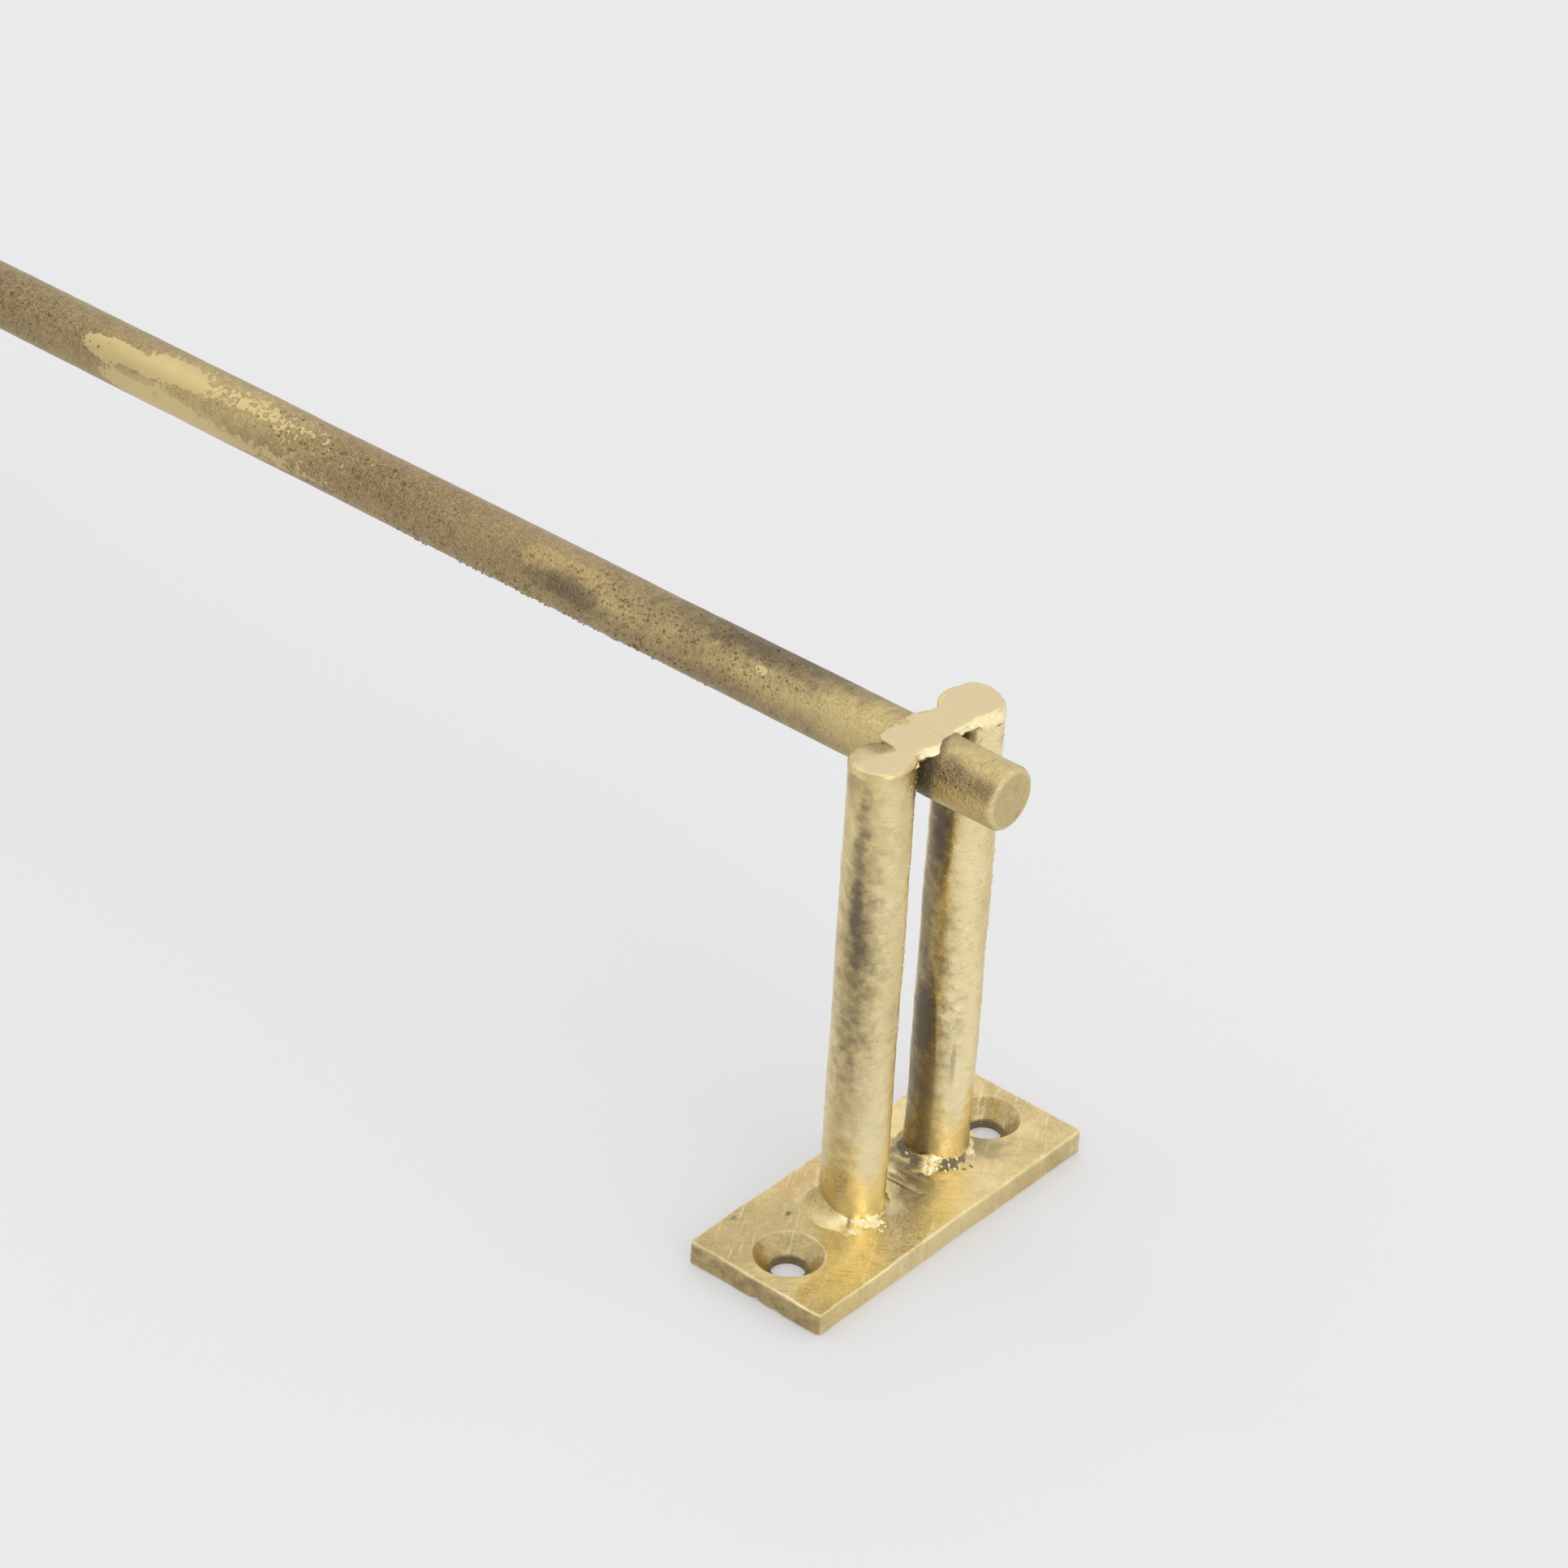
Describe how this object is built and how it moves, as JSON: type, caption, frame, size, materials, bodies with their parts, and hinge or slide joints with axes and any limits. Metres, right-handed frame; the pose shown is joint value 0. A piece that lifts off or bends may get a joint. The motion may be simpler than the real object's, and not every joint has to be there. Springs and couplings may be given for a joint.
{
  "type": "fixed rail",
  "caption": "Round metal rail brazed on top between upright round posts that stand on screw-down foot plates; a fixed bar for a window, shutter, curtain or towel.",
  "frame": {"origin": "middle of the footprint, on the undersides of the foot plates", "axes": "+X along the rail, from the left bracket to the right one; +Y across the rail, along the plates, from the front posts to the rear posts; +Z away from the mounting surface, up the posts"},
  "size_m": [0.3314, 0.0624, 0.0842],
  "materials": {
    "rail_brass": "brown tarnish, bright where rubbed",
    "post_brass": "rough cast skin, satin",
    "plate_brass": "filed and linished, satin",
    "braze_filler": "lumpy braze, dressed on top"
  },
  "bodies": {
    "root": {"rail_rod": "rail_brass", "left_foot_plate": "plate_brass", "left_front_post": "post_brass", "left_rear_post": "post_brass", "left_front_foot_braze": "braze_filler", "left_rear_foot_braze": "braze_filler", "left_front_valley_braze": "braze_filler", "left_rear_valley_braze": "braze_filler", "right_foot_plate": "plate_brass", "right_front_post": "post_brass", "right_rear_post": "post_brass", "right_front_foot_braze": "braze_filler", "right_rear_foot_braze": "braze_filler", "right_front_valley_braze": "braze_filler", "right_rear_valley_braze": "braze_filler"}
  },
  "joints": []
}
